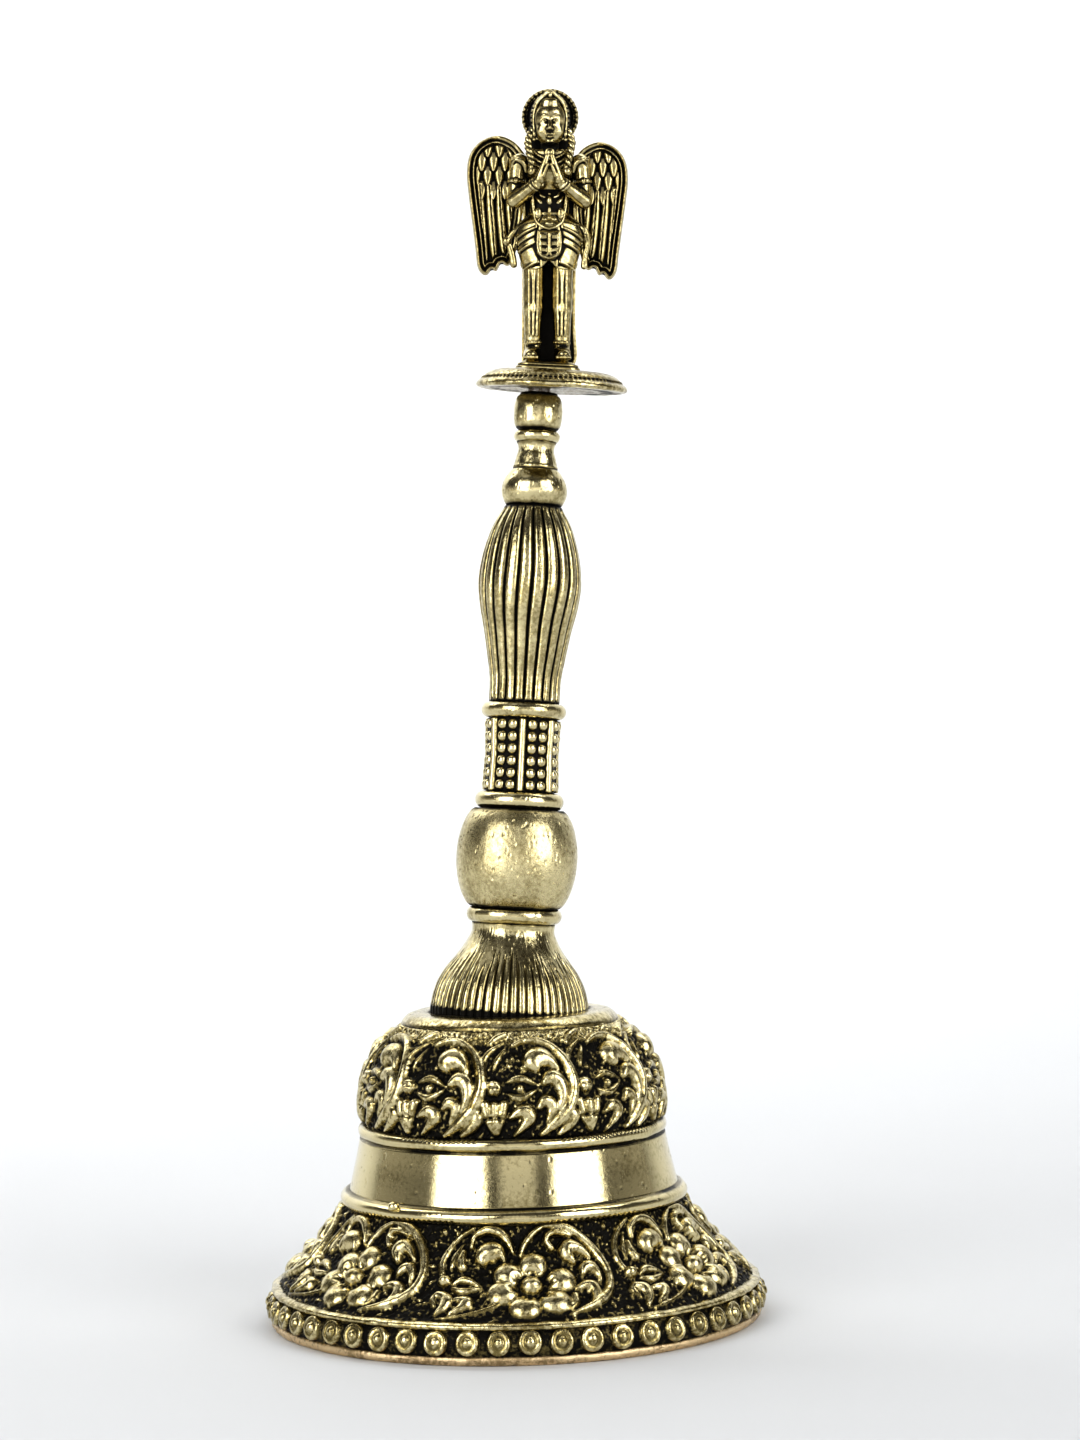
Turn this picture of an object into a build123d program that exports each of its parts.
"""Brass hand bell with a winged praying figure on its handle, in millimetres.

+Z is up and the origin is the centre of the rim's flat resting face. The cup hangs its clapper from a
swivel under the crown. The handle is a stack of castings on a tie rod, and leans a little to +X.
"""

import math
import os

from build123d import *

# Cup
MOUTH_R = 44.45  # over the beads of the rim
LIP_R = 43.2  # outer edge of the flat resting face
LIP_INNER_R = 39.6
BEAD_ROW_Z = 3.7
RIM_RING = (42.9, 6.3)  # radius and height of the thin ring over the bead row
FLARE_TOP = (29.6, 19.8)
LOWER_RING = (29.55, 22.2)
UPPER_RING = (26.05, 33.75)
RING_WIRE_R = 1.15
BAND_R = (28.9, 26.9)  # plain band, at its bottom and its top
CROWN_TOP_Z = 54.2
CROWN_FLAT_R = 18.4
CEILING_Z = 51.4
CEILING_R = 14.0

# Hardware under the crown, all on the vertical axis
STUD_R = 2.5
WASHER = (6.6, 1.0)  # radius and thickness
NUT_FLATS = 9.0
NUT_H = 5.8
NUT_FLOOR = 1.0  # below the pin's head
PIN_R = 1.0
PIN_HEAD = (1.9, 1.0)
RUNNING = 0.08  # radial clearance of the swivel pin
EYE_R = 2.6  # centreline of the eye's wire
LOOP_R = 3.0  # centreline of the clapper's loop
WIRE_R = 0.8
LINK_GAP = 0.1

# Clapper
BALL_R = 7.2
BALL_Z = 14.2
SHANK_R = 1.1
TAIL_Z = 5.8

# Handle: heights are measured along its own axis from the crown's top
LEAN = 4.1  # towards +X
LEAN_BACK = 2.0  # towards +Y
ROD_R = 2.0
ROD_HOLE_R = 2.1
FOOT_R = 14.0
NECK_R = 7.1
FOOT_H = 15.4
FOOT_COLLAR = (8.5, 15.4, 18.2)  # radius, bottom, top
BALL_KNOP = (8.6, 10.75, 7.9, 18.2, 35.6)  # radius below, at the middle, above, then bottom and top
LOWER_COLLAR = (7.9, 35.6, 38.6)
SLEEVE_R = 6.7
UPPER_COLLAR = (7.55, 51.8, 54.5)
GRIP_TOP = 89.6
GRIP_R = (6.3, 9.15, 5.1)  # bottom, belly, top
GRIP_BELLY = 75.6
BULB_R = 5.85
BULB_MIDDLE = 92.9
BULB_TOP = 101.2
BULB_NECK_R = 3.2
NECK_COLLAR = (4.15, 101.2, 103.3)
BEAD_R = 4.4
BEAD_TOP = 110.0

# Stand under the figure
DISC_R = 13.6
DISC_H = 2.2
DISC_SHIFT = 2.2  # the disc and the figure sit a little off the tie rod, to +X
DISC_HOLE_R = 2.5
STAND_TIP = 5.0  # the stand tips forward on the end of the handle
STAND_GAP = 0.4  # so only the front of its hole bears on the bead
TIER_R = 12.0
TIER_H = 1.9
PLINTH = (11.0, 8.6, 1.3)  # width, depth, height

# Figure: heights are measured from the plinth's top
FIGURE_LEAN = 1.8
FIGURE_SHIFT = 1.4
HEM_H = 15.6
WAIST_H = 25.4
SHOULDER_H = 35.2
HEAD_H = 41.4
LEG_X = 2.9
BACK_PLATE = (9.6, 1.4, 33.0)  # width, thickness, height
BACK_Y = 2.4  # its front face
WING_SPAN = 14.3  # half of it
WING_H = (16.4, 40.2)  # tip and shoulder, from the plinth's top
HALO_R = 5.0
HALO_TOP = 49.0


def lathe(outside, bore=0.0):
    """Turns an outline about Z. It runs from the bottom to the top as (radius, height)."""
    low, high = outside @ 0, outside @ 1
    closing = Polyline((high.X, high.Y), (bore, high.Y), (bore, low.Y), (low.X, low.Y))
    return revolve(Plane.XZ * make_face([*outside.edges(), *closing.edges()]), Axis.Z)


def ring(radius, bottom, top, bore):
    """Collar with a half-round outside."""
    middle = (bottom + top) / 2
    edge_r = radius - (top - bottom) / 2
    return lathe(ThreePointArc((edge_r, bottom), (radius, middle), (edge_r, top)), bore)


def rod(radius, bottom, top):
    return Pos(0, 0, bottom) * Cylinder(radius, top - bottom, align=(Align.CENTER, Align.CENTER, Align.MIN))


def ellipsoid(x, y, z):
    return scale(Sphere(1), by=(x, y, z))


def capsule(start, end, start_r, end_r):
    """Tapered limb with round ends."""
    start, end = Vector(*start), Vector(*end)
    along = end - start
    limb = Plane(start, z_dir=along) * Cone(
        start_r, end_r, along.length, align=(Align.CENTER, Align.CENTER, Align.MIN)
    )
    return limb + Pos(*start) * Sphere(start_r) + Pos(*end) * Sphere(end_r)


def handle_frame():
    return Pos(0, 0, CROWN_TOP_Z) * Rotation(-LEAN_BACK, LEAN, 0)


def stand_frame():
    """Origin at the underside of the stand, on the handle's axis."""
    return handle_frame() * Pos(0, 0, BEAD_TOP + STAND_GAP) * Rotation(STAND_TIP, 0, 0)


def figure_frame():
    """Origin at the plinth's top, standing more upright than the handle."""
    plinth_top = DISC_H + TIER_H + PLINTH[2]
    return stand_frame() * Pos(FIGURE_SHIFT, 0, plinth_top) * Rotation(0, FIGURE_LEAN - LEAN, 0)


def flush_with_plinth(shape):
    plinth_top = DISC_H + TIER_H + PLINTH[2]
    below = Box(60, 60, 20, align=(Align.CENTER, Align.CENTER, Align.MAX))
    return shape - stand_frame() * Pos(0, 0, plinth_top) * below


def bell_cup():
    """Cast cup: beaded rim, flare, plain band between two rings, domed crown."""
    outline = [
        Line((LIP_INNER_R, 0), (LIP_R, 0)),
        ThreePointArc((LIP_R, 0), (MOUTH_R, BEAD_ROW_Z), RIM_RING),
        ThreePointArc(RIM_RING, (36.4, 12.4), FLARE_TOP),
        Polyline(FLARE_TOP, (BAND_R[0], 23.2), (BAND_R[1], 32.4), (26.7, 35.0)),
        Spline((26.7, 35.0), (26.6, 41.0), (23.6, 48.2), (CROWN_FLAT_R, 53.4)),
        Polyline((CROWN_FLAT_R, 53.4), (CROWN_FLAT_R - 1.2, CROWN_TOP_Z), (0, CROWN_TOP_Z), (0, CEILING_Z)),
        Line((0, CEILING_Z), (CEILING_R, CEILING_Z)),
        Spline((CEILING_R, CEILING_Z), (20.4, 47.6), (23.4, 41.0), (24.2, 32.0)),
        Line((24.2, 32.0), (26.4, 21.0)),
        Spline((26.4, 21.0), (32.6, 12.6), (38.8, 4.0), (LIP_INNER_R, 0)),
    ]
    cup = revolve(Plane.XZ * make_face([edge for part in outline for edge in part.edges()]), Axis.Z)
    for radius, height in (LOWER_RING, UPPER_RING):
        cup += Pos(0, 0, height) * Torus(radius, RING_WIRE_R)
    return cup - rod(STUD_R + RUNNING, CEILING_Z - 1, CROWN_TOP_Z + 1)


def crown_stud():
    return rod(STUD_R, CEILING_Z - WASHER[1] - NUT_H / 2, CROWN_TOP_Z + 9.6)


def crown_washer():
    thickness = WASHER[1]
    return rod(WASHER[0], CEILING_Z - thickness, CEILING_Z) - rod(STUD_R + RUNNING, 0, CROWN_TOP_Z)


def swivel_nut():
    """Hexagon nut that clamps the crown and holds the head of the clapper's eye pin."""
    top = CEILING_Z - WASHER[1]
    bottom = top - NUT_H
    hexagon = extrude(RegularPolygon(NUT_FLATS / 2, 6, major_radius=False), NUT_H)
    nut = Pos(0, 0, bottom) * chamfer(hexagon.faces().sort_by(Axis.Z)[0].edges(), 0.6)
    return nut - rod(STUD_R + 0.02, bottom + NUT_FLOOR, top + 1) - rod(PIN_R + RUNNING, bottom - 1, top)


def pin_head_z():
    return CEILING_Z - WASHER[1] - NUT_H + NUT_FLOOR + 0.05


def eye_centre_z():
    return pin_head_z() - NUT_FLOOR - 0.2 - WIRE_R - EYE_R - 0.6


def clapper_eye():
    """Headed pin that turns in the nut, with an eye at its lower end."""
    centre = eye_centre_z()
    head_r, head_h = PIN_HEAD
    pin = rod(head_r, pin_head_z(), pin_head_z() + head_h) + rod(PIN_R, centre + EYE_R, pin_head_z())
    return pin + Pos(0, 0, centre) * Rotation(0, 90, 0) * Torus(EYE_R, WIRE_R)


def pivot_z():
    """Centre of the eye's lowest wire, about which the clapper swings."""
    return eye_centre_z() - EYE_R


def clapper_rod():
    """Loop, shank and peened tail, all one bent and upset rod."""
    loop_z = pivot_z() + 2 * WIRE_R + LINK_GAP - LOOP_R
    loop = Pos(0, 0, loop_z) * Rotation(90, 0, 0) * Torus(LOOP_R, WIRE_R)
    shank = rod(SHANK_R, TAIL_Z + 0.6, loop_z - LOOP_R + 0.3)
    tail = lathe(ThreePointArc((0.01, TAIL_Z), (1.5, TAIL_Z + 0.5), (SHANK_R, BALL_Z - BALL_R + 0.1)))
    return loop + shank + tail


def clapper_ball():
    ball = Pos(0, 0, BALL_Z) * Sphere(BALL_R) - rod(SHANK_R + 0.02, 0, BALL_Z + BALL_R + 1)
    return ball - rod(1.6, 0, BALL_Z - BALL_R + 0.2)


def pleated_foot():
    """Bell-shaped foot of the handle, cut flush with the crown, bored for the stud and the tie rod."""
    outside = Spline(
        (FOOT_R + 0.2, -2.0), (13.4, 3.7), (10.8, 8.0), (NECK_R + 0.45, 12.3), (NECK_R, 14.2), (NECK_R + 0.1, FOOT_H)
    )
    foot = handle_frame() * (lathe(outside) - rod(ROD_HOLE_R, 11.0, FOOT_H + 1))
    below_crown = Pos(0, 0, CROWN_TOP_Z - 10) * Box(60, 60, 20)
    return foot - below_crown - rod(STUD_R + RUNNING, 0, CROWN_TOP_Z + 9.8)


def tie_rod():
    return handle_frame() * rod(ROD_R, 11.2, BEAD_TOP + DISC_H + 1.4)


def collar(size):
    radius, bottom, top = size
    return handle_frame() * ring(radius, bottom, top, ROD_HOLE_R)


def ball_knop():
    low_r, middle_r, high_r, bottom, top = BALL_KNOP
    outside = Spline((low_r, bottom), (middle_r, bottom + 8.4), (high_r, top), tangents=((0.6, 1), (-0.9, 1)))
    return handle_frame() * lathe(outside, ROD_HOLE_R)


def beaded_sleeve():
    bottom, top = LOWER_COLLAR[2], UPPER_COLLAR[1]
    waist = ThreePointArc((SLEEVE_R + 0.1, bottom), (SLEEVE_R - 0.1, bottom + 4), (SLEEVE_R + 0.3, top))
    return handle_frame() * lathe(waist, ROD_HOLE_R)


def fluted_grip():
    bottom = UPPER_COLLAR[2]
    low_r, belly_r, high_r = GRIP_R
    outside = Spline(
        (low_r, bottom), (low_r + 0.4, 61.5), (7.8, 68.0), (belly_r, GRIP_BELLY), (8.0, 84.0), (high_r, GRIP_TOP)
    )
    return handle_frame() * lathe(outside, ROD_HOLE_R)


def bulb_knop():
    outside = Spline(
        (4.9, GRIP_TOP), (BULB_R, BULB_MIDDLE), (4.6, 96.3), (3.6, 98.9), (BULB_NECK_R, 100.2), (3.6, BULB_TOP)
    )
    return handle_frame() * lathe(outside, ROD_HOLE_R)


def barrel_bead():
    bottom = NECK_COLLAR[2]
    outside = [
        ThreePointArc((3.9, bottom), (BEAD_R, bottom + 2.4), (3.9, bottom + 5.0)),
        Line((3.9, bottom + 5.0), (3.7, BEAD_TOP)),
    ]
    return handle_frame() * lathe(Curve() + outside, ROD_HOLE_R)


def stand_disc():
    """Lower plate of the stand, convex on its edge."""
    edge = ThreePointArc((DISC_R - 0.7, 0), (DISC_R, 0.7), (DISC_R - 1.6, DISC_H))
    return stand_frame() * (Pos(DISC_SHIFT, 0, 0) * lathe(edge) - rod(DISC_HOLE_R, -1, DISC_H + 1))


def figure_base():
    """Upper plate with the plinth under the feet, hollowed for the end of the tie rod."""
    edge = ThreePointArc((TIER_R, 0), (TIER_R - 0.5, 1.0), (TIER_R - 1.8, TIER_H))
    width, depth, height = PLINTH
    plinth = extrude(RectangleRounded(width, depth, 2.5), height)
    solid = Pos(DISC_SHIFT, 0, 0) * lathe(edge) + Pos(FIGURE_SHIFT, 0, TIER_H) * plinth
    return stand_frame() * Pos(0, 0, DISC_H) * (solid - rod(DISC_HOLE_R, -1, 1.8))


def back_plate():
    """Strip behind the figure that carries the wings and the halo."""
    width, thickness, height = BACK_PLATE
    plate = Box(width, thickness, height + 1, align=(Align.CENTER, Align.MIN, Align.MIN))
    return flush_with_plinth(figure_frame() * Pos(0, BACK_Y, -1) * plate)


def figure():
    """Standing figure with its palms together. It stops at the front of the back plate."""
    body = Pos(0, 0.3, SHOULDER_H - 5.2) * ellipsoid(4.4, 2.5, 6.4)
    body += Pos(0, 0.1, HEM_H) * Cone(5.6, 3.4, WAIST_H - HEM_H, align=(Align.CENTER, Align.CENTER, Align.MIN))
    body += Pos(0, 0.2, HEAD_H) * ellipsoid(2.9, 2.8, 3.7)
    body += capsule((0, 0.4, SHOULDER_H), (0, 0.3, HEAD_H - 3), 1.8, 1.5)
    for side in (-1, 1):
        body += capsule((side * LEG_X, 0.2, 1.0), (side * (LEG_X - 0.3), 0.2, HEM_H + 1), 1.3, 1.9)
        body += Pos(side * LEG_X, -0.7, 0.5) * ellipsoid(1.5, 3.0, 1.2)
        body += capsule((side * 5.0, 0.3, SHOULDER_H - 1), (side * 5.9, -1.0, SHOULDER_H - 7.4), 1.5, 1.25)
        body += capsule((side * 5.9, -1.0, SHOULDER_H - 7.4), (side * 0.9, -3.2, SHOULDER_H - 4.4), 1.2, 0.9)
        body += capsule((side * 0.8, -3.4, SHOULDER_H - 4.6), (side * 0.3, -3.5, SHOULDER_H - 0.2), 0.9, 0.5)
    behind = Pos(0, BACK_Y, 0) * Box(40, 20, 120, align=(Align.CENTER, Align.MIN, Align.CENTER))
    return flush_with_plinth(figure_frame() * (body - behind))


def wing(side):
    """Cast wing: round at the shoulder, narrowing to a hanging tip."""
    tip, shoulder = WING_H
    outline = [
        ThreePointArc((4.8, 36.6), (9.4, shoulder), (WING_SPAN, 33.6)),
        Spline((WING_SPAN, 33.6), (12.7, 27.0), (12.4, 20.0), (11.4, tip)),
        Spline((11.4, tip), (8.8, 18.4), (7.4, 20.4), (4.8, 24.0)),
        Line((4.8, 24.0), (4.8, 36.6)),
    ]
    edges = [edge for part in outline for edge in part.edges()]
    plate = extrude(Plane.XZ * make_face(edges), -1.8)
    placed = Pos(0, BACK_Y - 0.2, 0) * plate
    return figure_frame() * (placed if side > 0 else mirror(placed, Plane.YZ))


def halo():
    """Arched nimbus on the top of the back plate, behind the head."""
    height = HALO_TOP - HALO_R
    top, thickness = BACK_PLATE[2], BACK_PLATE[1]
    disc = extrude(Plane.XZ * (Pos(0, height) * Circle(HALO_R)), -thickness)
    stem = Box(5.0, thickness, height - top, align=(Align.CENTER, Align.MIN, Align.MIN))
    return figure_frame() * Pos(0, BACK_Y, 0) * (disc + Pos(0, 0, top) * stem)


def main():
    parts = {
        "bell_cup": bell_cup(),
        "crown_stud": crown_stud(),
        "crown_washer": crown_washer(),
        "swivel_nut": swivel_nut(),
        "clapper_eye": clapper_eye(),
        "clapper_rod": clapper_rod(),
        "clapper_ball": clapper_ball(),
        "pleated_foot": pleated_foot(),
        "foot_collar": collar(FOOT_COLLAR),
        "ball_knop": ball_knop(),
        "lower_collar": collar(LOWER_COLLAR),
        "beaded_sleeve": beaded_sleeve(),
        "upper_collar": collar(UPPER_COLLAR),
        "fluted_grip": fluted_grip(),
        "bulb_knop": bulb_knop(),
        "neck_collar": collar(NECK_COLLAR),
        "barrel_bead": barrel_bead(),
        "tie_rod": tie_rod(),
        "stand_disc": stand_disc(),
        "figure_base": figure_base(),
        "back_plate": back_plate(),
        "figure": figure(),
        "left_wing": wing(-1),
        "right_wing": wing(1),
        "halo": halo(),
    }
    os.makedirs("parts", exist_ok=True)
    for name, shape in parts.items():
        export_step(shape, f"parts/{name}.step")
    print("clapper pivot height", round(pivot_z(), 3))


main()
